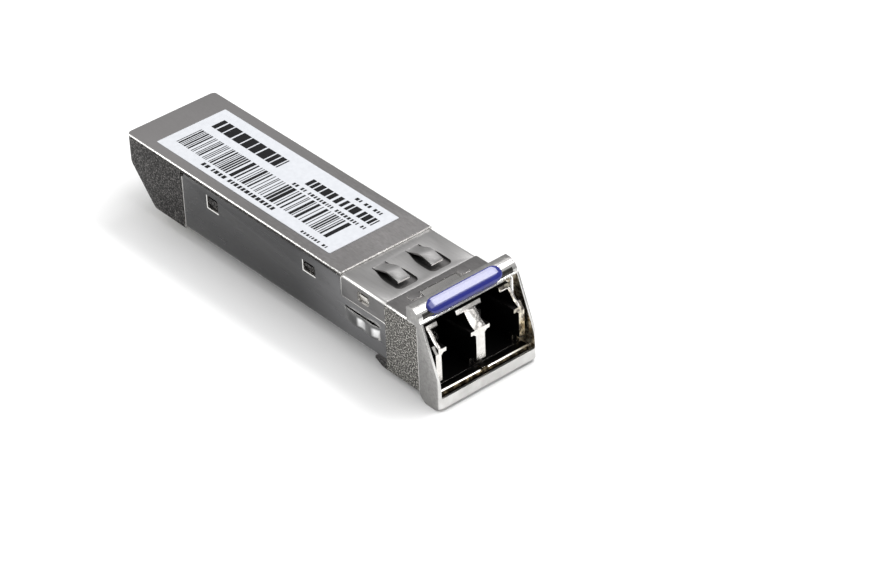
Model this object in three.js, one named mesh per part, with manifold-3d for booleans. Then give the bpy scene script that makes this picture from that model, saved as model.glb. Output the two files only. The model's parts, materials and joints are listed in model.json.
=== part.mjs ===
// Pluggable optical transceiver module with a duplex LC receptacle and a swinging bail latch.
// Millimetres. While modelling, x runs from the rear (host) end to the front, y is across and z is up from
// the body's underside. The exported group moves the model so that its box is centred on x and stands on z = 0.
import * as THREE from "three";
import { mergeVertices } from "three/addons/utils/BufferGeometryUtils.js";
import Module from "manifold-3d";

const wasm = await Module();
wasm.setup();

// ---- driving dimensions -------------------------------------------------------------------------------
const LENGTH = 56.5; // rear end to the front of the bail
const BODY_HALF = 6.7; // half width inside the cage, behind the nose
const NOSE_HALF = 6.85; // half width of the nose walls
const BODY_TOP = 8.5;
const SHEET = 0.28; // formed sheet of the cover and the collar
const FIT = 0.04; // gap between nested pieces
const COVER_START = 10.5; // the host connector reaches in as far as this
const COLLAR_START = 39.6;
const NOSE_START = 47.3;
const NOSE_END = 52.85;
const NOSE_TOP = 8.3;
const NOSE_BOTTOM = -0.94;
const COLLAR_TOP = 8.25;
const COLLAR_SKIRT = 5.45; // lowest edge of the collar's side flanges
const CAST_HALF = BODY_HALF - SHEET - FIT; // casting's half width inside the cover
const BAY_HALF = 5.5; // half width of the space inside the casting
const BAY_TOP = 7.45;
const LATCH_SHOULDER = 45.0;
const LATCH_BOSS_LENGTH = 2.6;
const LATCH_BOSS_HALF = 1.3;
const LATCH_BOSS_DROP = 0.45;
const ACTUATOR_HALF = 3.2; // half width of the actuator cavity under the nose
const PIVOT_X = 55.35;
const PIVOT_Z = 0.1;
const LIP_RADIUS = 0.62; // front lip of the nose floor, centred on the bail pivot
const PIN_RADIUS = 0.3;
const ARM_INNER = 6.8; // inner face of the bail's arms
const ARM_OUTER = 7.1;
const BAIL_BOTTOM = -1.5; // lowest point of the whole object
const PORT_PITCH = 6.25;
const PORT_HALF = 2.5;
const PORT_FLOOR = 0.75;
const PORT_CEILING = 5.3;
const PORT_FRONT = 55.25;
const OPTICAL_Z = (PORT_FLOOR + PORT_CEILING) / 2;
const FERRULE_RADIUS = 0.625;
const PCB_START = 3.2;
const PCB_END = 37.4;
const PCB_BOTTOM = 2.25;
const PCB_TOP = 3.25;
const CONTACT_PITCH = 0.8;
const CONTACTS_PER_SIDE = 10;

// ---- geometry helpers ---------------------------------------------------------------------------------
const FAR = 40;

function solid(geometry) {
  const bare = geometry.index ? geometry.toNonIndexed() : geometry.clone();
  bare.deleteAttribute("normal");
  bare.deleteAttribute("uv");
  const merged = mergeVertices(bare, 1e-4);
  return new wasm.Manifold(
    new wasm.Mesh({
      numProp: 3,
      vertProperties: merged.getAttribute("position").array,
      triVerts: new Uint32Array(merged.index.array),
    }),
  );
}

const join = (...pieces) => pieces.reduce((whole, piece) => whole.add(piece));
const cut = (body, ...tools) => tools.reduce((rest, tool) => rest.subtract(tool), body);

function block([x0, x1], [y0, y1], [z0, z1]) {
  const box = new THREE.BoxGeometry(x1 - x0, y1 - y0, z1 - z0);
  return solid(box.translate((x0 + x1) / 2, (y0 + y1) / 2, (z0 + z1) / 2));
}

const centred = (half) => [-half, half];
const mirrored = (body) => body.add(body.mirror([0, 1, 0]));

function toShape(outline) {
  return outline instanceof THREE.Shape ? outline : new THREE.Shape(outline.map(([a, b]) => new THREE.Vector2(a, b)));
}

function extrusion(outline, depth, segments = 5) {
  return new THREE.ExtrudeGeometry(toShape(outline), { depth, bevelEnabled: false, curveSegments: segments });
}

// An outline of (y, z) points swept from x0 to x1.
function alongX(outline, [x0, x1], segments) {
  const toX = new THREE.Matrix4().makeBasis(
    new THREE.Vector3(0, 1, 0),
    new THREE.Vector3(0, 0, 1),
    new THREE.Vector3(1, 0, 0),
  );
  return solid(extrusion(outline, x1 - x0, segments).applyMatrix4(toX).translate(x0, 0, 0));
}

// An outline of (x, z) points swept from y0 to y1.
function alongY(outline, [y0, y1], segments) {
  return solid(extrusion(outline, y1 - y0, segments).rotateX(Math.PI / 2).translate(0, y1, 0));
}

// An outline of (x, y) points swept from z0 to z1.
function alongZ(outline, [z0, z1], segments) {
  return solid(extrusion(outline, z1 - z0, segments).translate(0, 0, z0));
}

function roundedRect([a0, a1], [b0, b1], radius) {
  const shape = new THREE.Shape();
  shape.moveTo(a0 + radius, b0);
  shape.lineTo(a1 - radius, b0);
  shape.absarc(a1 - radius, b0 + radius, radius, -Math.PI / 2, 0);
  shape.lineTo(a1, b1 - radius);
  shape.absarc(a1 - radius, b1 - radius, radius, 0, Math.PI / 2);
  shape.lineTo(a0 + radius, b1);
  shape.absarc(a0 + radius, b1 - radius, radius, Math.PI / 2, Math.PI);
  shape.lineTo(a0, b0 + radius);
  shape.absarc(a0 + radius, b0 + radius, radius, Math.PI, 1.5 * Math.PI);
  return shape;
}

// Points on an arc, both ends included; angles in degrees.
function arc([cx, cz], radius, from, to, steps) {
  return Array.from({ length: steps + 1 }, (_, i) => {
    const angle = THREE.MathUtils.degToRad(from + ((to - from) * i) / steps);
    return [cx + radius * Math.cos(angle), cz + radius * Math.sin(angle)];
  });
}

// A closed band of the given thickness on the left of a path of points.
function band(path, thickness) {
  const offset = path.map((point, i) => {
    const before = path[Math.max(i - 1, 0)];
    const after = path[Math.min(i + 1, path.length - 1)];
    const run = new THREE.Vector2(after[0] - before[0], after[1] - before[1]).normalize();
    return [point[0] - run.y * thickness, point[1] + run.x * thickness];
  });
  return [...path, ...offset.reverse()];
}

function rodY(radius, [x, z], [y0, y1], sides = 20) {
  return solid(new THREE.CylinderGeometry(radius, radius, y1 - y0, sides).translate(x, (y0 + y1) / 2, z));
}

// A solid of revolution about a line along x; profile of (x, radius) points, starting and ending on the line.
function turned(profile, y, z, sides = 28) {
  const points = profile.map(([x, r]) => new THREE.Vector2(r, x));
  return solid(new THREE.LatheGeometry(points, sides).rotateZ(-Math.PI / 2).translate(0, y, z));
}

const model = new THREE.Group();
model.position.set(-LENGTH / 2, 0, -BAIL_BOTTOM);

const finishes = {
  casting: { color: 0x76757a, roughness: 0.62, metalness: 0.9 },
  nickel: { color: 0xc9c8c4, roughness: 0.28, metalness: 1 },
  sheet: { color: 0x8f8d8b, roughness: 0.34, metalness: 1 },
  collar: { color: 0xa09e9b, roughness: 0.36, metalness: 1 },
  steel: { color: 0xb4b4b6, roughness: 0.25, metalness: 1 },
  label: { color: 0xf0f3f7, roughness: 0.5, metalness: 0 },
  blue: { color: 0x28308e, roughness: 0.22, metalness: 0 },
  laminate: { color: 0x1f5a34, roughness: 0.45, metalness: 0 },
  gold: { color: 0xd8ac4c, roughness: 0.25, metalness: 1 },
  epoxy: { color: 0x1b1b1d, roughness: 0.5, metalness: 0 },
  ceramic: { color: 0xe6e1d5, roughness: 0.3, metalness: 0 },
  ferrite: { color: 0x4a4a4e, roughness: 0.6, metalness: 0 },
  polyimide: { color: 0xb5702a, roughness: 0.4, metalness: 0 },
  pad: { color: 0x8aa2b4, roughness: 0.8, metalness: 0 },
};

function add(name, body, finish) {
  const mesh = body.getMesh();
  const geometry = new THREE.BufferGeometry();
  geometry.setAttribute("position", new THREE.BufferAttribute(mesh.vertProperties, 3));
  geometry.setIndex(new THREE.BufferAttribute(mesh.triVerts, 1));
  geometry.computeVertexNormals();
  const piece = new THREE.Mesh(geometry, new THREE.MeshStandardMaterial(finishes[finish]));
  piece.name = name;
  model.add(piece);
}

// ---- die-cast housing ---------------------------------------------------------------------------------
const SNAP_WINDOWS = [
  { x: [15.5, 17.5], z: [5.5, 7.2] },
  { x: [33.0, 35.1], z: [5.6, 6.95] },
];
const COLLAR_WINDOW = { x: [42.5, 44.5], z: [6.25, 7.6] };
const CHANNEL_TOP = -0.5; // ceiling of the slider's channel in the nose
const TINE_CEILING = 0.38; // ceiling of the actuator cavity behind it
const CHANNEL_STEP = 48.0;
const SPRING = { x: [49.55, 52.95], radius: 0.36, wire: 0.1, z: -0.4, turns: 6 };
const BAY_FLOOR = 0.72;
const CAST_FLOOR_BOTTOM = SHEET + 0.06;

// A lug with a sloped lower face that a sheet window snaps over.
function snapLug({ x: [x0, x1], z: [z0, z1] }) {
  const inset = 0.32;
  const outline = [
    [CAST_HALF - 0.3, z0 + inset],
    [CAST_HALF, z0 + inset],
    [BODY_HALF - 0.06, z0 + 0.75],
    [BODY_HALF - 0.06, z1 - inset],
    [CAST_HALF - 0.3, z1 - inset],
  ];
  return mirrored(alongX(outline, [x0 + inset, x1 - inset]));
}

function noseBlock() {
  const corner = 0.6;
  const side = [
    [NOSE_START, NOSE_TOP],
    [NOSE_START, CAST_FLOOR_BOTTOM],
    [45.3, CAST_FLOOR_BOTTOM],
    [45.3, 0],
    [NOSE_START, NOSE_BOTTOM],
    [NOSE_END, NOSE_BOTTOM],
    ...arc([NOSE_END - corner, NOSE_TOP - corner], corner, 0, 90, 5),
  ];
  const section = roundedRect(centred(NOSE_HALF), [NOSE_BOTTOM, NOSE_TOP], 0.5);
  return alongY(side, centred(NOSE_HALF + 1)).intersect(alongX(section, [45, NOSE_END + 1]));
}

// The floor ahead of the nose walls, ending in a lip that the bail turns round.
function noseLip() {
  const underside = PIVOT_Z - LIP_RADIUS;
  const outline = [
    [NOSE_END - 0.2, 0.1],
    [NOSE_END - 0.2, NOSE_BOTTOM],
    [54.1, NOSE_BOTTOM],
    [54.1, underside],
    ...arc([PIVOT_X, PIVOT_Z], LIP_RADIUS, -90, 90, 10),
    [PIVOT_X - LIP_RADIUS, PIVOT_Z + LIP_RADIUS],
    [PIVOT_X - LIP_RADIUS, 0.1],
  ];
  return alongY(outline, centred(6.3));
}

function housing() {
  const rearSection = roundedRect(centred(BODY_HALF), [0, BODY_TOP], 0.35);
  const rearPlan = roundedRect([0, COLLAR_START + 2], centred(BODY_HALF), 0.9);
  const body = alongX(rearSection, [0, COLLAR_START]).intersect(alongZ(rearPlan, [-1, FAR]));
  const besideCover = mirrored(
    block([COVER_START, FAR], [CAST_HALF, FAR], [-1, 8.04]),
  );
  const underCover = block([COVER_START, FAR], centred(FAR), [-1, CAST_FLOOR_BOTTOM]);
  const lowerCorner = 0.8;
  const coverCorners = mirrored(
    alongX(
      [
        [CAST_HALF + 0.1, 0],
        [CAST_HALF + 0.1, CAST_FLOOR_BOTTOM + lowerCorner],
        [CAST_HALF, CAST_FLOOR_BOTTOM + lowerCorner],
        [CAST_HALF - lowerCorner, CAST_FLOOR_BOTTOM],
        [CAST_HALF - lowerCorner, 0],
      ],
      [COVER_START, NOSE_START],
    ),
  );
  const bay = alongX(
    roundedRect(centred(CAST_HALF), [CAST_FLOOR_BOTTOM, COLLAR_TOP - SHEET - 0.03], 0.4),
    [COLLAR_START - 0.5, NOSE_START + 0.5],
  );
  const shell = cut(join(cut(body, besideCover, underCover), bay), coverCorners);
  const inside = block([-1, 44.9], centred(BAY_HALF), [-1, BAY_TOP]);
  const floor = block([41.6, 48.3], centred(BAY_HALF + 0.3), [CAST_FLOOR_BOTTOM, BAY_FLOOR]);
  const skirtCut = alongY(
    [
      [-1, 6.3],
      [0, 6.3],
      [0.14, 5.75],
      [0.45, 5.1],
      [4.3, 0.75],
      [4.75, 0.32],
      [5.4, 0],
      [5.4, -1],
      [-1, -1],
    ],
    centred(FAR),
  );
  const shelledNose = join(cut(shell, inside, skirtCut), floor, noseBlock(), noseLip());

  const receptacleSpace = join(
    block([48.25, NOSE_END + 1], centred(6.04), [0.1, 7.95]),
    block([44.8, 48.3], centred(BAY_HALF), [BAY_FLOOR, BAY_TOP]),
  );
  const sliderSpace = join(
    block([CHANNEL_STEP, LENGTH], centred(ACTUATOR_HALF - 0.1), [-FAR, CHANNEL_TOP]),
    block([41, CHANNEL_STEP + 0.1], centred(ACTUATOR_HALF), [-FAR, TINE_CEILING]),
    block([46.8, 53.8], centred(3.6), [-0.76, -0.53]),
    block(SPRING.x, centred(0.5), [CHANNEL_TOP - 0.1, 0.2]),
  );
  const pinHoles = rodY(PIN_RADIUS + 0.02, [PIVOT_X, PIVOT_Z], centred(6.6)).subtract(
    rodY(1, [PIVOT_X, PIVOT_Z], centred(4.8)),
  );
  const leafGroove = block([48.2, NOSE_END + 1], centred(2.7), [8.1, FAR]);
  const opened = cut(shelledNose, receptacleSpace, sliderSpace, pinHoles, leafGroove);

  const latchBoss = alongY(
    [
      [LATCH_SHOULDER - LATCH_BOSS_LENGTH, TINE_CEILING + 0.1],
      [LATCH_SHOULDER - LATCH_BOSS_LENGTH, 0],
      [LATCH_SHOULDER, -LATCH_BOSS_DROP],
      [LATCH_SHOULDER, TINE_CEILING + 0.1],
    ],
    centred(LATCH_BOSS_HALF),
  );
  const springPeg = block([49.1, 49.5], centred(0.45), [-0.88, CHANNEL_TOP + 0.1]);
  const chipPedestal = block([28, 34.2], centred(4.6), [4.95, BAY_TOP + 0.1]);
  const boardLedges = [13.5, 20.5, 35.2].map((x) =>
    mirrored(block([x, x + 2], [4.9, BAY_HALF + 0.1], [PCB_TOP + 0.04, BAY_TOP + 0.1])),
  );
  const nosePads = mirrored(block([48.05, 49.0], [2.9, 4.25], [NOSE_TOP - 0.1, NOSE_TOP + 0.12]));
  const lipNub = block([55.0, 55.86], centred(0.42), [0.3, 0.98]);
  const lugs = [...SNAP_WINDOWS, COLLAR_WINDOW].map(snapLug);
  return join(opened, latchBoss, springPeg, chipPedestal, ...boardLedges, nosePads, lipNub, ...lugs);
}
add("die_cast_housing", housing(), "casting");

// ---- bottom cover -------------------------------------------------------------------------------------
const SIDE_FINGER = { x: [39.95, 46.35], z: [2.75, 4.4] };
const FINGER_PROFILE = [
  [39.95, 0],
  [40.9, 0.22],
  [41.8, 0.36],
  [42.7, 0.27],
  [43.4, 0.2],
  [44.2, 0.33],
  [45.0, 0.42],
  [45.75, 0.24],
  [46.35, 0],
]; // how far the side finger stands out along its length

function sheetWindow({ x: [x0, x1], z }) {
  return alongY(roundedRect([x0, x1], z, 0.35), centred(FAR), 3);
}

// A strip of the side sheet that waves outwards in two crests, joined to the sheet at both ends.
function sideFinger() {
  const inside = FINGER_PROFILE.map(([x, bow]) => new THREE.Vector2(x, BODY_HALF - SHEET + bow));
  const path = new THREE.SplineCurve(inside).getPoints(28).map(({ x, y }) => [x, y]);
  return mirrored(alongZ(band(path, SHEET), SIDE_FINGER.z));
}

function bottomCover() {
  const start = COVER_START + 0.18;
  const end = NOSE_START - 0.06;
  const outer = alongX(roundedRect(centred(BODY_HALF), [0, 12], 0.95), [start, end], 6);
  const inner = alongX(roundedRect(centred(BODY_HALF - SHEET), [SHEET, 13], 0.67), [0, 50], 6);
  const aboveSides = block([0, 50], centred(FAR), [8.0, 20]);
  const underCollar = block([COLLAR_START - 0.02, 50], centred(FAR), [COLLAR_SKIRT - 0.04, 20]);
  const forNose = block([45.26, 50], centred(FAR), [-1, CAST_FLOOR_BOTTOM + 0.02]);
  const forBoss = block([41.8, 46], centred(ACTUATOR_HALF + 0.05), [-1, 0.3]);
  const [fx0, fx1] = SIDE_FINGER.x;
  const [fz0, fz1] = SIDE_FINGER.z;
  const fingerGap = block([fx0 + 0.25, fx1 - 0.25], centred(FAR), [fz0 - 0.14, fz1 + 0.14]);
  const windows = SNAP_WINDOWS.map(sheetWindow);
  const rearNotch = block([start - 0.1, start + 0.4], centred(FAR), [7.6, 9]);
  const openings = [underCollar, forNose, forBoss, fingerGap, rearNotch, ...windows];
  const channel = cut(outer, inner, aboveSides, ...openings);
  const boardTabs = [14, 27, 35].map((x) => mirrored(block([x, x + 1.6], [4.9, 5.2], [0.2, PCB_BOTTOM - 0.02])));
  return join(channel, sideFinger(), ...boardTabs);
}
add("bottom_cover", bottomCover(), "sheet");

// ---- EMI collar ---------------------------------------------------------------------------------------
const TOP_FINGER = { y: 2.42, half: 0.86, gap: 0.4, x: [41.1, 46.45] };

function topFinger(y) {
  const path = [
    [TOP_FINGER.x[0] - 0.25, COLLAR_TOP - SHEET],
    [TOP_FINGER.x[0] + 0.5, COLLAR_TOP - SHEET + 0.05],
    [42.7, COLLAR_TOP + 0.2],
    [43.2, COLLAR_TOP + 0.38],
    [43.55, COLLAR_TOP + 0.44],
    [43.9, COLLAR_TOP + 0.4],
    [45.45, COLLAR_TOP + 0.06],
  ];
  return alongY(band(path, 0.24), [y - TOP_FINGER.half, y + TOP_FINGER.half]);
}

// A narrow slit each side of the finger's root that widens into a rounded window round its tip.
function fingerOpening(y) {
  const [x0, x1] = TOP_FINGER.x;
  const slit = TOP_FINGER.half + 0.12;
  const wide = TOP_FINGER.half + TOP_FINGER.gap + 0.3;
  const corner = 0.75;
  const shape = new THREE.Shape();
  shape.moveTo(x0, y - slit);
  shape.bezierCurveTo(x0 + 1.3, y - slit, x0 + 1.7, y - wide, x0 + 3.2, y - wide);
  shape.lineTo(x1 - corner, y - wide);
  shape.absarc(x1 - corner, y - wide + corner, corner, -Math.PI / 2, 0);
  shape.lineTo(x1, y + wide - corner);
  shape.absarc(x1 - corner, y + wide - corner, corner, 0, Math.PI / 2);
  shape.lineTo(x0 + 3.2, y + wide);
  shape.bezierCurveTo(x0 + 1.7, y + wide, x0 + 1.3, y + slit, x0, y + slit);
  return alongZ(shape, [COLLAR_TOP - 1.2, COLLAR_TOP + 1], 8);
}

function emiCollar() {
  const span = [COLLAR_START + 0.03, NOSE_START - 0.03];
  const outer = alongX(roundedRect(centred(BODY_HALF), [0, COLLAR_TOP], 0.55), span);
  const inner = alongX(roundedRect(centred(BODY_HALF - SHEET), [-1, COLLAR_TOP - SHEET], 0.3), [30, 50]);
  const belowSkirt = block([30, 50], centred(FAR), [-1, COLLAR_SKIRT]);
  const ys = [-TOP_FINGER.y, TOP_FINGER.y];
  const openings = ys.map(fingerOpening);
  const sheet = cut(outer, inner, belowSkirt, sheetWindow(COLLAR_WINDOW), ...openings);
  return join(sheet, ...ys.map(topFinger));
}
add("emi_collar", emiCollar(), "collar");

add("label", alongZ(roundedRect([4.15, 36.0], [-5.2, 4.95], 0.15), [BODY_TOP, BODY_TOP + 0.07], 4), "label");

// ---- duplex LC receptacle -----------------------------------------------------------------------------
const LIP_OF_T = { z: [PORT_CEILING, 5.8], half: 1.78, x: 50.2 };
const WING_TOP = 7.45;
const REAR_WALL = 46.4;

function lcReceptacle() {
  const sloped = [
    [48.3, 0.14],
    [PIVOT_X - LIP_RADIUS - 0.05, 0.14],
    [PIVOT_X - LIP_RADIUS - 0.05, 1.7],
    [PORT_FRONT, 1.7],
    [PORT_FRONT, LIP_OF_T.z[1] + 0.05],
    [54.4, 6.4],
    [53.7, 7.35],
    [53.4, 7.5],
    [53.25, 7.92],
    [48.3, 7.92],
  ];
  const front = alongY(sloped, centred(6.0));
  const cheeks = mirrored(
    alongY(
      [
        [NOSE_END + 0.06, 1.7],
        [PORT_FRONT, 1.7],
        [PORT_FRONT, 5.3],
        [54.6, 6.1],
        [NOSE_END + 0.06, 6.1],
      ],
      [5.9, 6.4],
    ),
  );
  const rear = block([44.95, 48.4], centred(BAY_HALF - 0.04), [BAY_FLOOR + 0.02, BAY_TOP - 0.03]);
  const chamfer = 0.3;
  const ports = [-PORT_PITCH / 2, PORT_PITCH / 2].flatMap((y) => {
    const wide = [y - PORT_HALF, y + PORT_HALF];
    const wing = y > 0 ? [0.8, 5.55] : [-5.55, -0.8];
    const mouth = [
      [wide[0], PORT_FLOOR],
      [wide[1], PORT_FLOOR],
      [wide[1], PORT_CEILING - chamfer],
      [wide[1] - chamfer, PORT_CEILING],
      [wide[0] + chamfer, PORT_CEILING],
      [wide[0], PORT_CEILING - chamfer],
    ];
    return [
      alongX(mouth, [REAR_WALL, FAR * 2]),
      block([REAR_WALL + 1.5, LIP_OF_T.x], wide, [PORT_CEILING - 0.1, LIP_OF_T.z[1]]),
      block([REAR_WALL + 1.5, FAR * 2], [y - LIP_OF_T.half, y + LIP_OF_T.half], [PORT_CEILING - 0.1, WING_TOP]),
      block([REAR_WALL + 1.5, FAR * 2], wing, [LIP_OF_T.z[1], WING_TOP]),
      block([51.2, FAR * 2], [y - 1.35, y + 1.35], [WING_TOP - 0.1, 9]),
      turned([[40, 0], [40, 1.5], [50, 1.5], [50, 0]], y, OPTICAL_Z),
    ];
  });
  const plugGuides = [-PORT_PITCH / 2, PORT_PITCH / 2].flatMap((y) =>
    [-1, 1].map((side) => {
      const ends = [y + side * (PORT_HALF + 0.05), y + side * (PORT_HALF - 0.3)].sort((a, b) => a - b);
      return block([53.5, 54.3], ends, [PORT_FLOOR - 0.05, 1.6]);
    }),
  );
  return join(cut(join(front, rear, cheeks), ...ports), ...plugGuides);
}
add("lc_receptacle", lcReceptacle(), "nickel");

// ---- optical subassemblies ----------------------------------------------------------------------------
const FLEX_THICKNESS = 0.14;

function opticalSubassembly(name, y, bodyFinish) {
  const flangeBack = 43.3;
  const barrel = turned(
    [
      [flangeBack, 0],
      [flangeBack, 2.25],
      [44.3, 2.25],
      [44.3, 1.85],
      [44.8, 1.85],
      [44.8, 1.46],
      [50.1, 1.46],
      [50.4, 1.2],
      [50.4, FERRULE_RADIUS + 0.25],
      [46.2, FERRULE_RADIUS + 0.25],
      [46.2, 0],
    ],
    y,
    OPTICAL_Z,
  );
  const sleeve = turned(
    [
      [46.25, 0.2],
      [46.25, FERRULE_RADIUS + 0.21],
      [50.2, FERRULE_RADIUS + 0.21],
      [50.2, FERRULE_RADIUS],
      [46.6, FERRULE_RADIUS],
      [46.6, 0.2],
      [46.25, 0.2],
    ],
    y,
    OPTICAL_Z,
    20,
  );
  const can = turned(
    [
      [38.7, 0],
      [38.7, 2.3],
      [39.6, 2.3],
      [39.6, 1.75],
      [42.4, 1.75],
      [42.6, 1.55],
      [43.26, 1.55],
      [43.26, 0],
    ],
    y,
    OPTICAL_Z,
  );
  const flexPath = [
    [34.8, PCB_TOP + 0.02],
    [36.9, PCB_TOP + 0.02],
    [37.6, PCB_TOP + 0.3],
    [38.3, OPTICAL_Z + 0.9],
    [38.5, OPTICAL_Z + 2.1],
  ];
  const flex = alongY(band(flexPath, FLEX_THICKNESS), [y - 1.5, y + 1.5]);
  add(name + "_barrel", barrel, "steel");
  add(name + "_ferrule_sleeve", sleeve, "ceramic");
  add(name + "_can", can, bodyFinish);
  add(name + "_flex_circuit", flex, "polyimide");
}
opticalSubassembly("transmitter", -PORT_PITCH / 2, "gold");
opticalSubassembly("receiver", PORT_PITCH / 2, "steel");

// A forked plate that holds both barrels' flanges against the receptacle.
function opticsRetainer() {
  const plate = block([44.34, 44.76], centred(BAY_HALF - 0.05), [BAY_FLOOR + 0.03, 6.6]);
  const forks = [-PORT_PITCH / 2, PORT_PITCH / 2].flatMap((y) => [
    turned([[44, 0], [44, 1.9], [45, 1.9], [45, 0]], y, OPTICAL_Z),
    block([44, 45], [y - 1.9, y + 1.9], [-1, OPTICAL_Z]),
  ]);
  return cut(plate, ...forks);
}
add("optics_retainer", opticsRetainer(), "steel");

// ---- circuit board ------------------------------------------------------------------------------------
function circuitBoard() {
  const edge = 4.6;
  const wide = 5.4;
  const outline = [
    [PCB_START + 0.4, -edge],
    [11.2, -edge],
    [11.2, -wide],
    [PCB_END, -wide],
    [PCB_END, wide],
    [11.2, wide],
    [11.2, edge],
    [PCB_START + 0.4, edge],
    [PCB_START, edge - 0.4],
    [PCB_START, -edge + 0.4],
  ];
  return alongZ(outline, [PCB_BOTTOM, PCB_TOP]);
}
add("circuit_board", circuitBoard(), "laminate");

// Ten plated fingers joined by the plating bar at their inner ends.
function edgeContacts([z0, z1]) {
  const first = (-CONTACT_PITCH * (CONTACTS_PER_SIDE - 1)) / 2;
  const fingers = Array.from({ length: CONTACTS_PER_SIDE }, (_, i) => {
    const y = first + CONTACT_PITCH * i;
    const longer = i % 3 === 1 ? 0.5 : 0; // the contacts that mate first
    return block([PCB_START + 0.95 - longer, 7.6], [y - 0.27, y + 0.27], [z0, z1]);
  });
  const bar = block([7.5, 7.8], centred(-first + 0.27), [z0, z1]);
  return join(...fingers, bar);
}
add("edge_contacts_top", edgeContacts([PCB_TOP, PCB_TOP + 0.04]), "gold");
add("edge_contacts_bottom", edgeContacts([PCB_BOTTOM - 0.04, PCB_BOTTOM]), "gold");

// A surface-mounted piece that stands on the board's top, or hangs under it when height is negative.
function mounted(name, [x, y], [length, width], height, finish) {
  const span = height > 0 ? [PCB_TOP, PCB_TOP + height] : [PCB_BOTTOM + height, PCB_BOTTOM];
  const body = block([x - length / 2, x + length / 2], [y - width / 2, y + width / 2], span);
  add(name, body, finish);
}
mounted("laser_driver_chip", [31, -2.5], [4, 4], 0.9, "epoxy");
mounted("limiting_amplifier_chip", [31, 2.6], [3.2, 3.2], 0.9, "epoxy");
mounted("controller_chip", [22.5, 0.4], [5, 5], 0.85, "epoxy");
mounted("memory_chip", [15.5, -1.6], [3, 4], 1.1, "epoxy");
mounted("transmit_supply_inductor", [26.8, -3.6], [2, 1.6], 1.3, "ferrite");
mounted("receive_supply_inductor", [26.8, 3.6], [2, 1.6], 1.3, "ferrite");
mounted("transmit_supply_capacitor", [12.6, 3.2], [1.6, 0.8], 0.8, "ceramic");
mounted("receive_supply_capacitor", [15.4, 3.2], [1.6, 0.8], 0.8, "ceramic");
mounted("supply_filter_capacitor", [24, -2.4], [3.2, 1.6], -1.3, "ceramic");
add("thermal_pad", block([28.4, 33.6], centred(4.4), [PCB_TOP + 0.93, 4.92]), "pad");

// ---- release slider and its spring --------------------------------------------------------------------
const SLIDER_FRONT = 55.95;
const TINE_TIP = 45.35;

function releaseSlider() {
  const side = [
    [SLIDER_FRONT, -0.9],
    [SLIDER_FRONT, -0.6],
    [53.9, -0.56],
    [CHANNEL_STEP + 0.1, -0.56],
    [CHANNEL_STEP - 0.9, TINE_CEILING - 0.06],
    [TINE_TIP + 0.5, TINE_CEILING - 0.06],
    [TINE_TIP, 0.1],
    [TINE_TIP + 0.9, -0.08],
    [46.9, -0.08],
    [CHANNEL_STEP - 0.3, -0.9],
  ];
  const plate = alongY(side, centred(ACTUATOR_HALF - 0.2));
  const betweenTines = block([40, 47.3], centred(LATCH_BOSS_HALF + 0.22), [-2, 1]);
  const springWindow = block([48.9, SPRING.x[1] + 0.04], centred(0.6), [-2, 1]);
  const ears = mirrored(block([49, 53.5], [2.9, 3.5], [-0.74, -0.57]));
  return cut(join(plate, ears), betweenTines, springWindow);
}
add("release_slider", releaseSlider(), "steel");

function sliderSpring() {
  const [x0, x1] = [SPRING.x[0] + SPRING.wire, SPRING.x[1] - SPRING.wire];
  const stepsPerTurn = 12;
  const points = Array.from({ length: SPRING.turns * stepsPerTurn + 1 }, (_, i) => {
    const t = i / (SPRING.turns * stepsPerTurn);
    const angle = 2 * Math.PI * SPRING.turns * t;
    return new THREE.Vector3(
      x0 + (x1 - x0) * t,
      SPRING.radius * Math.sin(angle),
      SPRING.z + SPRING.radius * Math.cos(angle),
    );
  });
  const section = new THREE.Shape();
  section.absarc(0, 0, SPRING.wire, 0, 2 * Math.PI);
  const geometry = new THREE.ExtrudeGeometry(section, {
    extrudePath: new THREE.CatmullRomCurve3(points),
    steps: SPRING.turns * stepsPerTurn,
    curveSegments: 3,
    bevelEnabled: false,
  });
  return solid(geometry);
}
add("slider_return_spring", sliderSpring(), "steel");

// ---- bail ---------------------------------------------------------------------------------------------
const BAR_SHEET = 0.3;
const BAR_BEND = { centre: [52.15, 9.0], radius: 1.4 };
const BAR_REAR = 51.4;

function bailFrame() {
  const bendPath = arc(BAR_BEND.centre, BAR_BEND.radius, 90, 8, 8);
  const barOuter = [
    [BAR_REAR, 9.75],
    [BAR_REAR, 10.2],
    [BAR_REAR + 0.2, 10.4],
    ...bendPath,
    [53.75, 9.05],
  ];
  const bar = [
    ...barOuter,
    [53.2, 8.98],
    ...arc(BAR_BEND.centre, BAR_BEND.radius - BAR_SHEET, 8, 90, 6),
    [BAR_REAR + BAR_SHEET, 9.95],
    [BAR_REAR + BAR_SHEET, 9.75],
  ];
  const arm = [
    [BAR_REAR, 8.5],
    [BAR_REAR, 10.2],
    [BAR_REAR + 0.2, 10.4],
    ...bendPath,
    [53.75, 9.05],
    [56.3, 2.41],
    [LENGTH, 0.6],
    [LENGTH, -0.62],
    [56.3, -1.05],
    [55.5, BAIL_BOTTOM],
    [54.0, BAIL_BOTTOM],
    [53.4, -1.1],
    [53.06, -0.5],
    [53.06, 8.1],
    [52.6, 8.5],
  ];
  const arms = mirrored(alongY(arm, [ARM_INNER, ARM_OUTER]));
  const topBar = alongY(bar, centred(ARM_INNER + 0.1));
  const strip = block([LENGTH - BAR_SHEET, LENGTH], centred(ARM_OUTER), [-1.02, 0.33]);
  const plan = roundedRect([40, LENGTH], centred(ARM_OUTER), 0.55);
  const pivotHoles = rodY(PIN_RADIUS + 0.05, [PIVOT_X, PIVOT_Z], centred(ARM_OUTER - 0.12)).subtract(
    rodY(1, [PIVOT_X, PIVOT_Z], centred(1)),
  );
  const frame = join(arms, topBar, strip).intersect(alongZ(plan, [-3, 12], 4));
  return cut(frame, pivotHoles);
}
add("bail_frame", bailFrame(), "nickel");

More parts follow.
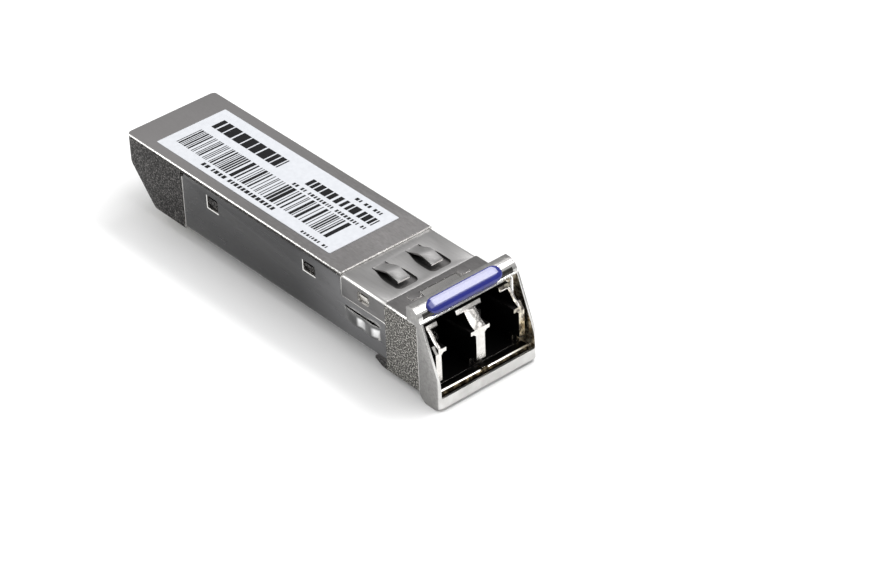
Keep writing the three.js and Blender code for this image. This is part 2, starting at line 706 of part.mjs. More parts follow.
// A moulded bead on the bend, rounded at its ends. It sits a little to the right of the middle.
const GRIP = { y: [-5.6, 4.95], height: 2.2, swell: 0.5, tilt: 44 };

function bailGrip() {
  const section = [
    ...arc(BAR_BEND.centre, BAR_BEND.radius + GRIP.swell, 9, 84, 12),
    ...arc(BAR_BEND.centre, BAR_BEND.radius + 0.03, 84, 9, 12),
  ];
  const outline = roundedRect(centred(GRIP.height / 2), GRIP.y, GRIP.height / 2 - 0.02);
  const towardsBend = new THREE.Matrix4().makeRotationY(THREE.MathUtils.degToRad(GRIP.tilt));
  const [x, z] = BAR_BEND.centre;
  const window = solid(extrusion(outline, 4, 8).applyMatrix4(towardsBend).translate(x, 0, z));
  return alongY(section, GRIP.y).intersect(window);
}
add("bail_grip", bailGrip(), "blue");

const PIN_ENDS = [4.85, ARM_OUTER - 0.16];
for (const [side, y] of [["right", PIN_ENDS.map((end) => -end).reverse()], ["left", PIN_ENDS]]) {
  add("bail_pivot_pin_" + side, rodY(PIN_RADIUS, [PIVOT_X, PIVOT_Z], y, 16), "steel");
}

// A leaf in the nose's top groove that bears on the bail and holds it closed.
const leafPath = [
  [48.3, 8.13],
  [50.6, 8.13],
  [52.0, 8.6],
  [52.5, 8.62],
  [53.0, 8.3],
];
add("bail_detent_spring", alongY(band(leafPath, 0.18), centred(2.6)), "steel");

export default model;
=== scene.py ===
"""Pluggable optical transceiver module: surface finishes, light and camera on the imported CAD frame."""

import json
import math
import random

import bmesh
import bpy
from mathutils import Matrix, Quaternion, Vector


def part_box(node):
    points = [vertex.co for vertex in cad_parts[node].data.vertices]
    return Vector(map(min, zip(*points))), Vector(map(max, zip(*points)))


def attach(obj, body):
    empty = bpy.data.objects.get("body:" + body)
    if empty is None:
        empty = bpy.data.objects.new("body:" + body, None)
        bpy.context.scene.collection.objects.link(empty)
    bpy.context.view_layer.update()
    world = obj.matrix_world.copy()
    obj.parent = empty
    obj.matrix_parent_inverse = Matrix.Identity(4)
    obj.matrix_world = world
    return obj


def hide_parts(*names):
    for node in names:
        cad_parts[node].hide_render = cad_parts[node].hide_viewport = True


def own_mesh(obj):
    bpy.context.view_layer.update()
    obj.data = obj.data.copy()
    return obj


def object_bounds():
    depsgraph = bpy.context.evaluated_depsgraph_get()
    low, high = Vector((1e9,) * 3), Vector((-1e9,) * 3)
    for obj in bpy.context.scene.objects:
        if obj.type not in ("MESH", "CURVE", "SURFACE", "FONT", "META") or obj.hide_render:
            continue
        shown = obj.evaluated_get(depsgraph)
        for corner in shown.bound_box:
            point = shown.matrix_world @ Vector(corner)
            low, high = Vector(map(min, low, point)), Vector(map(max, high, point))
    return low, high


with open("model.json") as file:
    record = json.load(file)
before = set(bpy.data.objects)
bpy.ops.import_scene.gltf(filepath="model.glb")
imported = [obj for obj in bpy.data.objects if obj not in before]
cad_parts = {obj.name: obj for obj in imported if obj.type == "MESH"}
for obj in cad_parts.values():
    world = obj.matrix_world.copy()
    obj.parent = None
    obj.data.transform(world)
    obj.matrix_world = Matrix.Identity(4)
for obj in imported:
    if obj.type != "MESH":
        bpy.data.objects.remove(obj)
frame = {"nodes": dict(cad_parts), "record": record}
nodes = frame["nodes"]
CAD_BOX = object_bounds()

MM = 0.001
ROOT = "module_body"


# ---- shader building ----------------------------------------------------------------------------------
X, Y, Z = 0, 1, 2


class Paint:
    """A node material that is built up by short calls.

    Noise grains and bump depths are in metres, and places on the object in row-frame millimetres.
    """

    def __init__(self, name, **constants):
        self.material = bpy.data.materials.new(name)
        self.material.use_nodes = True
        self.tree = self.material.node_tree
        self.shader = self.tree.nodes["Principled BSDF"]
        self.coords = self.node("ShaderNodeTexCoord")
        for socket, value in constants.items():
            self.shader.inputs[socket.replace("_", " ")].default_value = value

    def node(self, kind, inputs=(), **settings):
        made = self.tree.nodes.new(kind)
        for key, value in settings.items():
            setattr(made, key, value)
        for key, value in dict(inputs).items():
            if isinstance(value, bpy.types.NodeSocket):
                self.tree.links.new(value, made.inputs[key])
            else:
                made.inputs[key].default_value = value
        return made

    def math(self, operation, a, b=0.0):
        return self.node("ShaderNodeMath", {0: a, 1: b}, operation=operation).outputs[0]

    def place(self, index):
        """Where a point is along one axis, in metres."""
        return self.node("ShaderNodeSeparateXYZ", {0: self.coords.outputs["Object"]}).outputs[index]

    def facing(self, index):
        """How far the surface faces along one axis, from -1 to 1."""
        return self.node("ShaderNodeSeparateXYZ", {0: self.coords.outputs["Normal"]}).outputs[index]

    def turned_to(self, index):
        """How far the surface faces along one axis, either way: 1 is straight along it."""
        return self.math("ABSOLUTE", self.facing(index))

    def noise(self, grain, stretch=(1, 1, 1), detail=3.0, rough=0.55):
        """Noise whose features are about grain metres across."""
        mapping = self.node("ShaderNodeMapping", {"Vector": self.coords.outputs["Object"], "Scale": stretch})
        inputs = {"Vector": mapping.outputs[0], "Scale": 1 / grain, "Detail": detail, "Roughness": rough}
        return self.node("ShaderNodeTexNoise", inputs).outputs["Fac"]

    def ramp(self, value, stops):
        ramp = self.node("ShaderNodeValToRGB", {"Fac": value})
        elements = ramp.color_ramp.elements
        while len(elements) < len(stops):
            elements.new(0.5)
        for element, (position, colour) in zip(elements, stops):
            element.position = position
            level = colour if isinstance(colour, tuple) else (colour, colour, colour)
            element.color = (*level, 1)
        return ramp.outputs[0]

    def mix(self, factor, a, b):
        mixer = self.node("ShaderNodeMix", {0: factor}, data_type="RGBA")
        for socket, value in ((mixer.inputs[6], a), (mixer.inputs[7], b)):
            if isinstance(value, bpy.types.NodeSocket):
                self.tree.links.new(value, socket)
            else:
                socket.default_value = (*value, 1)
        return mixer.outputs[2]

    def use(self, **sockets):
        for name, value in sockets.items():
            self.tree.links.new(value, self.shader.inputs[name.replace("_", " ")])

    def bump(self, height, depth, strength):
        inputs = {"Height": height, "Distance": depth, "Strength": strength}
        self.use(Normal=self.node("ShaderNodeBump", inputs).outputs[0])

    def step(self, value, low, high, kind="SMOOTHSTEP"):
        """0 at low and 1 at high."""
        inputs = {"Value": value, 1: low, 2: high}
        return self.node("ShaderNodeMapRange", inputs, interpolation_type=kind).outputs[0]

    def step_along(self, index, ends, kind="SMOOTHSTEP"):
        """0 at the first place along one axis and 1 at the second."""
        return self.step(self.place(index), *(end * MM for end in ends), kind)

    def within(self, index, ends):
        """1 where the place along one axis is between two ends."""
        low, high = ends
        band = self.math("COMPARE", self.place(index), (low + high) / 2 * MM)
        band.node.inputs[2].default_value = (high - low) / 2 * MM
        return band

    def patch(self, x_range, z_range):
        """1 inside a rectangle seen from the side."""
        return self.times(self.within(X, x_range), self.within(Z, z_range))

    def times(self, a, b):
        return self.math("MULTIPLY", a, b)

    def any_of(self, masks):
        total = masks[0]
        for mask in masks[1:]:
            total = self.math("MAXIMUM", total, mask)
        return total

    def flatness(self):
        """1 on faces square to the module, lower on rounded edges and slopes."""
        return self.step(self.any_of([self.turned_to(axis) for axis in (X, Y, Z)]), 0.8, 0.93)


def dimmed(colour, share):
    return tuple(channel * share for channel in colour)


# ---- finishes -----------------------------------------------------------------------------------------
# Places on the module, in row-frame millimetres.
NOSE_BEGINS_X = (18.9, 19.1)  # the casting's skin changes here from dark to bright, as painted shade behind and painted light on the nose
NOSE_FRONT_X = 24.7
NOSE_FRONT_RIM_X = (24.44, NOSE_FRONT_X)
NOSE_TOP_RIM = ((19.2, NOSE_FRONT_X), (9.62, 9.9))
LIP_BEGINS_X = (NOSE_FRONT_X, 24.95)
COLLAR_LUGS_X = (12.2, 18.2)  # the casting's lugs that show in the collar's side windows
COLLAR_LUGS_LOWEST_Z = 6.0
DECK_PAINTED_LIGHT_X = (8, -24)  # the deck is painted paler from the first place to the second, as painted light
SHEET_FADE_X = (14, 2)  # painted shade: formed sheet is painted darker from the first place to the second
SIDE_FINGER_X = (12.0, 18.4)  # the sprung fingers on the cover's sides
SIDE_FINGER_Y = (6.74, 6.8)  # they stand out past this
SIDE_FINGER_LOWER_Z = (4.35, 4.7)
SIDE_FINGER_UPPER_Z = (5.75, 5.4)
TONGUE_X = (12.9, 18.15)  # the sprung tongues on the collar's top
TONGUE_Y = (1.5, 3.34)
UNDER_GRIP_Z = (10.68, 11.32)
BAR_HALF_Y = 6.5  # the bail's top bar between its arms
ARM_INSIDE_Y = 5.0  # the arms' inner faces are further out than this
STAINED_Y = (3.6, 4.6)  # the receptacle is stained past this, on the far side
PORT_DARKENS_DEPTH = (3.4, 4.6)  # painted shade: the port is painted dark from this depth behind the module's front

# painted highlight: the bright tone painted on rounded edges, bends and rims
HIGHLIGHT_BRIGHT = (0.9, 0.89, 0.87)
# painted reflections: dark and bright tones painted along the side fingers' bulges
SIDE_FINGER_REFLECTION_TONES = [
    (0.0, 0.16),
    (0.18, 0.08),
    (0.34, 0.1),
    (0.4, 0.8),
    (0.54, 0.8),
    (0.6, 0.22),
    (0.74, 0.13),
    (0.83, 0.85),
    (1.0, 0.5),
]


def cast_metal():
    """Nickel-plated zinc casting: satin deck painted paler towards the rear as light, rough speckled sides
    painted dark as shade at the rear and bright as lit on the nose, edges painted bright as highlights, and
    a lip painted dark as shade.
    """
    paint = Paint("cast_metal", Metallic=1.0)
    pits = paint.noise(0.00019, detail=4, rough=0.7)
    upward = paint.step(paint.turned_to(Z), 0.8, 0.95)
    sideways = paint.step(paint.turned_to(Y), 0.7, 0.92)

    deck_grain = paint.noise(0.00022, (0.35, 1, 1), detail=4)
    blotches = paint.noise(0.006, detail=2)
    deck = paint.ramp(deck_grain, [(0.3, (0.2, 0.193, 0.192)), (0.75, (0.27, 0.262, 0.26))])
    deck = paint.mix(paint.ramp(blotches, [(0.35, 0.0), (0.75, 0.5)]), deck, (0.165, 0.159, 0.158))
    # Painted light: the deck is painted paler towards the rear, as a gradient of reflected light.
    rear_painted_light = paint.times(paint.step_along(X, DECK_PAINTED_LIGHT_X), 0.6)
    deck = paint.mix(rear_painted_light, deck, (0.46, 0.445, 0.445))

    # Painted light: the side skin is painted dark as shade at the rear and bright as lit on the nose.
    shaded_skin_stops = [(0.4, (0.016, 0.015, 0.015)), (0.53, (0.045, 0.043, 0.042)), (0.67, (0.26, 0.25, 0.24))]
    lit_nose_stops = [(0.41, (0.045, 0.043, 0.04)), (0.52, (0.14, 0.136, 0.127)), (0.62, (0.74, 0.72, 0.67))]
    on_nose = paint.step_along(X, NOSE_BEGINS_X)
    skin = paint.mix(on_nose, paint.ramp(pits, shaded_skin_stops), paint.ramp(pits, lit_nose_stops))
    high_up = paint.math("GREATER_THAN", paint.place(Z), COLLAR_LUGS_LOWEST_Z * MM)
    skin = paint.mix(paint.times(paint.within(X, COLLAR_LUGS_X), high_up), skin, (0.8, 0.78, 0.74))

    # Painted highlights: faces that are neither upward nor sideways, chiefly rounded edges, are painted
    # bright.
    edge_highlight = paint.ramp(pits, [(0.36, (0.32, 0.31, 0.3)), (0.56, HIGHLIGHT_BRIGHT)])
    colour = paint.mix(sideways, paint.mix(upward, edge_highlight, deck), skin)
    # Painted highlights: bright lines along the nose's front and top rims on its sides.
    rims = paint.any_of([paint.within(X, NOSE_FRONT_RIM_X), paint.patch(*NOSE_TOP_RIM)])
    colour = paint.mix(paint.times(sideways, rims), colour, (0.85, 0.84, 0.82))

    # Painted shade and highlight: the lip in the bail's window is painted dark as the shade of its recess,
    # near black on its top over a mottled dark golden-brown stain, with a painted highlight line across its
    # front.
    stain = paint.ramp(paint.noise(0.0006), [(0.46, (0.02, 0.014, 0.008)), (0.7, (0.3, 0.24, 0.15))])
    shaded_lip = paint.mix(paint.step(paint.turned_to(Z), 0.85, 0.9), stain, (0.012, 0.011, 0.01))
    lip_highlight = paint.ramp(paint.turned_to(Z), [(0.74, 0.0), (0.8, 1.0), (0.9, 1.0), (0.94, 0.0)])
    lip = paint.mix(lip_highlight, shaded_lip, (0.85, 0.82, 0.76))
    paint.use(Base_Color=paint.mix(paint.step_along(X, LIP_BEGINS_X), colour, lip))

    skin_rough = paint.ramp(pits, [(0.3, 0.6), (0.7, 0.36)])
    flat_rough = paint.ramp(upward, [(0.0, 0.25), (1.0, 0.36)])
    paint.use(Roughness=paint.mix(sideways, flat_rough, skin_rough))
    smooth_height = paint.ramp(deck_grain, [(0.0, 0.47), (1.0, 0.53)])
    paint.bump(paint.mix(sideways, smooth_height, pits), 0.00018, 0.55)
    return paint.material


def formed_sheet(name, low, high, roughness, side_shade_share=1.0, rims=(), shade_rear=1.0, highlighted_ends=False):
    """Rolled sheet metal with a faint grain along the module, and its sheared edges and bends painted bright
    as highlights.

    The sides, and the sheet towards the rear, are painted darker as shade, the side fingers carry painted
    reflections, and the tongues' forward slopes painted shade. The rims are bright rectangles painted on the
    sides as highlights, each a pair of x and z ranges.
    """
    paint = Paint(name, Metallic=1.0)
    grain = paint.noise(0.00035, (0.12, 1, 1), detail=4)
    clouds = paint.noise(0.005, detail=2)
    highlight_tone = paint.ramp(clouds, [(0.35, (0.62, 0.61, 0.59)), (0.6, HIGHLIGHT_BRIGHT)])
    side = paint.step(paint.turned_to(Y), 0.8, 0.95)

    colour = paint.ramp(grain, [(0.3, low), (0.7, high)])
    colour = paint.mix(paint.ramp(clouds, [(0.4, 0.0), (0.8, 0.4)]), colour, low)
    # Painted shade: the sides are painted darker by their share, and towards the rear darker still.
    colour = paint.mix(side, colour, dimmed(low, side_shade_share))
    colour = paint.mix(paint.step_along(X, SHEET_FADE_X), colour, dimmed(low, side_shade_share * shade_rear))

    # Painted reflections: the side fingers are painted with dark and bright bands along their length, and
    # dark grey above and below them.
    off_middle = paint.math("ABSOLUTE", paint.place(Y))
    on_finger = paint.step(off_middle, *(y * MM for y in SIDE_FINGER_Y))
    reflection_bands = paint.ramp(paint.step_along(X, SIDE_FINGER_X, "LINEAR"), SIDE_FINGER_REFLECTION_TONES)
    lit = paint.times(paint.step_along(Z, SIDE_FINGER_LOWER_Z), paint.step_along(Z, SIDE_FINGER_UPPER_Z))
    colour = paint.mix(on_finger, colour, paint.mix(lit, (0.13, 0.13, 0.13), reflection_bands))

    right_tongue = paint.within(Y, TONGUE_Y)
    left_tongue = paint.within(Y, (-TONGUE_Y[1], -TONGUE_Y[0]))
    on_tongue = paint.times(paint.within(X, TONGUE_X), paint.any_of([right_tongue, left_tongue]))
    # Painted shade and highlight: the tongues' forward slopes are painted darker, and their forward-facing
    # sheared tips bright.
    tongue = paint.mix(paint.step(paint.facing(X), 0.1, 0.3), colour, dimmed(low, 0.24))
    tongue = paint.mix(paint.step(paint.facing(X), 0.7, 0.85), tongue, highlight_tone)
    # Painted highlights: faces that are not flat, such as bends and rounded edges, are painted bright,
    # except on the tongues.
    colour = paint.mix(on_tongue, paint.mix(paint.flatness(), highlight_tone, colour), tongue)

    if highlighted_ends:
        # Painted highlight: faces turned along the module or upward are painted bright.
        end = paint.any_of([paint.turned_to(X), paint.facing(Z)])
        colour = paint.mix(paint.step(end, 0.6, 0.8), colour, highlight_tone)
    if rims:
        # Painted highlights: the rim rectangles on the sides are painted bright.
        edge_highlight = paint.any_of([paint.patch(*rim) for rim in rims])
        colour = paint.mix(paint.times(side, edge_highlight), colour, highlight_tone)
    paint.use(Base_Color=colour)
    rough = paint.ramp(grain, [(0.3, roughness + 0.05), (0.7, roughness - 0.04)])
    paint.use(Roughness=paint.mix(on_finger, rough, (0.16, 0.16, 0.16)))
    paint.bump(grain, 0.00002, 0.35)
    return paint.material


def bright_nickel(name, tone, roughness):
    """Bright plating with a slight orange peel."""
    paint = Paint(name, Metallic=1.0)
    peel = paint.noise(0.0007, detail=2)
    paint.use(Base_Color=paint.ramp(peel, [(0.35, dimmed(tone, 0.9)), (0.65, tone)]))
    paint.use(Roughness=paint.ramp(peel, [(0.3, roughness + 0.06), (0.7, roughness - 0.03)]))
    paint.bump(peel, 0.00004, 0.4)
    return paint.material


def satin_bail():
    """Plated sheet: satin on its broad sides and top, with its bends and sheared edges painted bright as
    highlights and a dark reflection painted under the grip.
    """
    paint = Paint("bail_nickel", Metallic=1.0)
    grain = paint.noise(0.0003, detail=4)
    satin = paint.ramp(grain, [(0.3, (0.27, 0.265, 0.26)), (0.7, (0.38, 0.375, 0.365))])
    clouds = paint.noise(0.002, detail=2)
    # Painted highlights: bends and sheared edges are painted bright.
    bright = paint.ramp(clouds, [(0.35, (0.56, 0.555, 0.54)), (0.65, (0.7, 0.695, 0.68))])
    broad = paint.step(paint.any_of([paint.turned_to(Y), paint.turned_to(Z)]), 0.86, 0.96)
    colour = paint.mix(broad, bright, satin)

    # Painted reflection: forward faces under the grip, between the arms, are painted dark as a dark
    # reflection.
    forward = paint.step(paint.facing(X), 0.7, 0.85)
    between_arms = paint.math("LESS_THAN", paint.math("ABSOLUTE", paint.place(Y)), BAR_HALF_Y * MM)
    dark_reflection = paint.times(paint.times(paint.within(Z, UNDER_GRIP_Z), forward), between_arms)
    colour = paint.mix(dark_reflection, colour, (0.07, 0.068, 0.065))

    outward = paint.times(paint.place(Y), paint.facing(Y))
    inside_arm = paint.math("LESS_THAN", outward, -ARM_INSIDE_Y * MM)
    stain_grain = paint.noise(0.0005, detail=3)
    stain = paint.ramp(stain_grain, [(0.4, (0.3, 0.22, 0.12)), (0.6, (0.95, 0.86, 0.68))])
    paint.use(Base_Color=paint.mix(inside_arm, colour, stain))
    paint.use(Roughness=paint.ramp(broad, [(0.0, 0.16), (1.0, 0.34)]))
    paint.bump(grain, 0.00003, 0.4)
    return paint.material


def receptacle_metal():
    """Bright plated front faces, stained towards the far side, on a port interior painted near black as
    shade, its rounded edges painted paler as glints.
    """
    paint = Paint("receptacle_metal", Metallic=1.0)
    peel = paint.noise(0.0005, detail=3)
    bright = paint.ramp(peel, [(0.3, (0.76, 0.74, 0.70)), (0.7, (0.9, 0.88, 0.85))])
    stain = paint.ramp(paint.noise(0.0006), [(0.42, (0.05, 0.035, 0.02)), (0.6, (0.8, 0.74, 0.6))])
    bright = paint.mix(paint.times(paint.step_along(Y, STAINED_Y), 0.85), bright, stain)
    bright = paint.mix(paint.step(paint.facing(Z), 0.68, 0.78), bright, (0.13, 0.125, 0.12))

    # Painted shade: only forward faces near the front keep the bright colour; the port's other faces are
    # painted near black as shade, with rounded edges painted paler as glints.
    depth = paint.math("SUBTRACT", CAD_BOX[1].x, paint.place(X))
    in_front = paint.math("SUBTRACT", 1.0, paint.step(depth, *(d * MM for d in PORT_DARKENS_DEPTH)))
    showing = paint.times(in_front, paint.step(paint.facing(X), 0.2, 0.5))
    inside = paint.mix(paint.flatness(), (0.2, 0.18, 0.15), (0.012, 0.011, 0.011))
    paint.use(Base_Color=paint.mix(showing, inside, bright))
    paint.use(Roughness=paint.ramp(showing, [(0.0, 0.5), (1.0, 0.18)]))
    paint.bump(peel, 0.00005, 0.5)
    return paint.material


def plain_plastic(name, low, high, roughness, grain=0.0004, **constants):
    """Moulded or coated surface with a fine texture."""
    paint = Paint(name, **constants)
    texture = paint.noise(grain, detail=3)
    paint.use(Base_Color=paint.ramp(texture, [(0.35, low), (0.65, high)]))
    paint.use(Roughness=paint.ramp(texture, [(0.3, roughness - 0.05), (0.7, roughness + 0.06)]))
    paint.bump(texture, 0.00003, 0.4)
    return paint.material


def glossy_blue():
    """Glossy moulded plastic."""
    paint = Paint("blue_grip", Coat_Weight=0.5, Coat_Roughness=0.04, Specular_IOR_Level=0.5)
    swirl = paint.noise(0.0015, (0.3, 1, 1), detail=2)
    paint.use(Base_Color=paint.ramp(swirl, [(0.3, (0.004, 0.009, 0.17)), (0.7, (0.006, 0.012, 0.2))]))
    paint.use(Roughness=paint.ramp(swirl, [(0.3, 0.1), (0.7, 0.14)]))
    paint.bump(swirl, 0.000006, 0.3)
    return paint.material


# Widths of the rims painted bright as highlights, and places on the module, in row-frame millimetres.
WINDOW_RIM = 0.17
SHEET_RIM = 0.13
COLLAR_LOWER_RIM = 0.12
COVER_WINDOWS = [((-12.75, -10.75), (7.0, 8.7)), ((4.75, 6.85), (7.1, 8.45))]  # x and z ranges
COVER_RIM_TOP_Z = 9.0
COLLAR_RIM_TOP_Z = 9.6


def box_in_millimetres(name):
    return [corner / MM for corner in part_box(name)]


def window_rims(x_range, z_range):
    """The rear and lower rims of a window in a side wall, painted bright as highlights."""
    (x0, x1), (z0, z1) = x_range, z_range
    rear = ((x0 - WINDOW_RIM, x0), (z0 - WINDOW_RIM, z1))
    lower = ((x0 - WINDOW_RIM, x1), (z0 - WINDOW_RIM, z0))
    return [rear, lower]


def cover_rims():
    low, _ = box_in_millimetres("bottom_cover")
    rear = ((low.x, low.x + SHEET_RIM), (low.z, COVER_RIM_TOP_Z))
    return [rear] + [rim for window in COVER_WINDOWS for rim in window_rims(*window)]


def collar_rims():
    low, high = box_in_millimetres("emi_collar")
    lower = ((low.x, high.x), (low.z, low.z + COLLAR_LOWER_RIM))
    rear = ((low.x, low.x + SHEET_RIM), (low.z, COLLAR_RIM_TOP_Z))
    return [lower, rear]


finishes = {
    "cast_metal": cast_metal(),
    "cover_sheet": formed_sheet(
        "cover_sheet",
        (0.16, 0.16, 0.163),
        (0.19, 0.19, 0.194),
        0.3,
        rims=cover_rims(),
        shade_rear=0.4,
        highlighted_ends=True,
    ),
    "collar_sheet": formed_sheet(
        "collar_sheet",
        (0.42, 0.413, 0.41),
        (0.5, 0.492, 0.488),
        0.33,
        side_shade_share=0.38,
        rims=collar_rims(),
    ),
    "label_film": plain_plastic(
        "label_film",
        (0.58, 0.594, 0.625),
        (0.62, 0.634, 0.665),
        0.5,
        0.0006,
        Specular_IOR_Level=0.15,
    ),
    "nickel_casting": receptacle_metal(),
    "bright_steel": bright_nickel("bright_steel", (0.42, 0.41, 0.4), 0.26),
    "ceramic": plain_plastic("ceramic", (0.78, 0.75, 0.68), (0.84, 0.81, 0.75), 0.3),
    "gold_plate": bright_nickel("gold_plate", (0.86, 0.62, 0.24), 0.22),
    "polyimide": plain_plastic("polyimide", (0.40, 0.17, 0.03), (0.48, 0.22, 0.05), 0.35),
    "laminate": plain_plastic("laminate", (0.02, 0.12, 0.05), (0.03, 0.17, 0.07), 0.35),
    "epoxy": plain_plastic("epoxy", (0.012, 0.012, 0.013), (0.02, 0.02, 0.021), 0.5),
    "ferrite": plain_plastic("ferrite", (0.05, 0.05, 0.055), (0.075, 0.075, 0.08), 0.55),
    "gap_pad": plain_plastic("gap_pad", (0.22, 0.32, 0.42), (0.27, 0.38, 0.48), 0.8),
    "bail_nickel": satin_bail(),
    "blue_grip": glossy_blue(),
}


# ---- carried-over CAD nodes ---------------------------------------------------------------------------
BEVELS = {  # widths in millimetres
    "die_cast_housing": 0.06,
    "bottom_cover": 0.05,
    "emi_collar": 0.05,
    "lc_receptacle": 0.1,
    "bail_frame": 0.09,
    "release_slider": 0.04,
    "bail_detent_spring": 0.03,
    "optics_retainer": 0.04,
}


WELD_DISTANCE = 0.0005 * MM
FLAT_WITHIN = math.radians(0.6)
SHARP_ANGLE = math.radians(32)


def soften_edges(node, width_mm):
    """Joins the facets and rounds the sharp edges, so that they catch the light as real ones do."""
    weld = node.modifiers.new("weld", "WELD")
    weld.merge_threshold = WELD_DISTANCE
    flatten = node.modifiers.new("flatten", "DECIMATE")
    flatten.decimate_type = "DISSOLVE"
    flatten.angle_limit = FLAT_WITHIN
    bevel = node.modifiers.new("edges", "BEVEL")
    bevel.width = width_mm * MM
    bevel.segments = 3
    bevel.limit_method = "ANGLE"
    bevel.angle_limit = SHARP_ANGLE
    bevel.harden_normals = True
    bevel.use_clamp_overlap = True


def shade(node, sharp_angle=SHARP_ANGLE):
    """Smooth shading, with the edges past the angle left sharp."""
    node.data.polygons.foreach_set("use_smooth", [True] * len(node.data.polygons))
    node.data.set_sharp_from_angle(angle=sharp_angle)


for entry in frame["record"]["subparts"]:
    node = nodes[entry["node"]]
    node.data.materials.clear()
    node.data.materials.append(finishes[entry["material_slot"]])
    shade(node)
    if node.name in BEVELS:
        soften_edges(node, BEVELS[node.name])


# ---- new pieces ---------------------------------------------------------------------------------------
MERGE_DISTANCE = 0.002 * MM
ROUND_ANGLE = math.radians(60)


def new_piece(name, bm, material):
    """Turns finished mesh work into an object in the scene."""
    mesh = bpy.data.meshes.new(name)
    bm.to_mesh(mesh)
    bm.free()
    mesh.materials.append(material)
    piece = bpy.data.objects.new(name, mesh)
    bpy.context.collection.objects.link(piece)
    return piece


def skin_rings(bm, rings):
    """Joins rings of vertices into one closed body."""
    for ring, following in zip(rings, rings[1:]):
        for j, vertex in enumerate(ring):
            bm.faces.new((vertex, following[j], following[j - 1], ring[j - 1]))
    bm.faces.new(rings[0])
    bm.faces.new(reversed(rings[-1]))
    bmesh.ops.remove_doubles(bm, verts=bm.verts, dist=MERGE_DISTANCE)
    bmesh.ops.recalc_face_normals(bm, faces=bm.faces)


# ---- label print --------------------------------------------------------------------------------------
# Places on the label are in module millimetres, from the module's rear end and its middle line.
LABEL_START = 4.15
LABEL_SEED = 7
INK_LIFT = 0.008
BARS_X = (5.7, 33.7)
BARS_Y = (-3.5, 0.2)
BAR_WIDTHS = (0.14, 0.14, 0.14, 0.28, 0.28, 0.46, 0.62)
BAR_GAPS = (0.14, 0.18, 0.28, 0.4)
BLOCK_GAP = 0.2
BLOCK_ROWS = [  # x range, y range, longest block, widest gap
    ((6.0, 18.3), (1.4, 3.4), 1.5, 0.26),
    ((23.2, 35.0), (1.6, 3.0), 1.05, 0.4),
    ((11.6, 25.0), (-4.5, -3.9), 0.6, 0.6),
    ((22.2, 35.0), (0.5, 1.0), 0.4, 0.6),
    ((29.6, 34.2), (3.7, 4.2), 0.5, 0.6),
    ((30.4, 34.9), (-4.9, -4.5), 0.4, 0.6),
]


def bars(rng):
    """A strip of upright bars, as (x0, x1, y0, y1)."""
    strip = []
    x, end = BARS_X
    while x < end:
        width = rng.choice(BAR_WIDTHS)
        strip.append((x, x + width, *BARS_Y))
        x += width + rng.choice(BAR_GAPS)
    return strip


def block_row(rng, x_range, y_range, longest, wide_gap):
    """A row of short blocks, as a stand-in for a line of print."""
    row = []
    x, end = x_range
    while x < end:
        length = rng.uniform(0.45, 1.0) * longest
        row.append((x, min(x + length, end), *y_range))
        x += length + rng.choice((BLOCK_GAP, BLOCK_GAP, BLOCK_GAP, wide_gap))
    return row


def label_print():
    """Generic stand-ins for the print: a strip of bars, two heavy rows of blocks and four fine rows."""
    rng = random.Random(LABEL_SEED)
    rectangles = bars(rng)
    for row in BLOCK_ROWS:
        rectangles += block_row(rng, *row)
    low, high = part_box("label")
    origin = low.x - LABEL_START * MM
    height = high.z + INK_LIFT * MM
    bm = bmesh.new()
    for x0, x1, y0, y1 in rectangles:
        corners = [(x0, y0), (x1, y0), (x1, y1), (x0, y1)]
        bm.faces.new([bm.verts.new((origin + x * MM, y * MM, height)) for x, y in corners])
    ink = plain_plastic(
        "label_ink",
        (0.004, 0.004, 0.005),
        (0.008, 0.008, 0.009),
        0.5,
        0.0003,
        Specular_IOR_Level=0.15,
    )
    piece = new_piece("label_print", bm, ink)
    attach(piece, ROOT)


label_print()


# ---- grip bead ----------------------------------------------------------------------------------------
BEAD_ALONG = 96
BEAD_ACROSS = 28
BEAD_INNER = 1.43 * MM
BEAD_OUTER = 1.895 * MM
BEAD_HALF_ARC = 1.16 * MM
BEAD_MIDDLE = math.radians(46)
BEAD_LOWEST = math.radians(10.6)  # where the CAD grip's section begins and ends
BEAD_HIGHEST = math.radians(81.4)
FLAT_FACING = math.radians(62)  # the bead is flattened along its upper half
FLAT_DISTANCE = 1.79 * MM
FLAT_REACH = math.radians(60)
BLEND = 60  # the higher, the crisper the line between the flat and the round part
EDGE_ROUNDING = 4.5  # superellipse powers: the higher, the squarer
END_ROUNDING = 3.2
THINNEST = 0.0004  # keeps the bead's tips from closing to a line


def bead_radius(angle, s, inset):
    """How far the bead's surface is from the bend's centre.

    s runs across the bead from -1 to 1, and inset grows to 1 at its tips.
    """
    flat = FLAT_DISTANCE / math.cos(min(abs(angle - FLAT_FACING), FLAT_REACH))
    full = (BEAD_OUTER**-BLEND + flat**-BLEND) ** (-1 / BLEND)
    swell = (1 - abs(s) ** EDGE_ROUNDING) ** (1 / EDGE_ROUNDING)
    crown = (1 - inset**END_ROUNDING) ** (1 / END_ROUNDING) if inset < 1 else 0
    return BEAD_INNER + (full - BEAD_INNER) * swell * crown


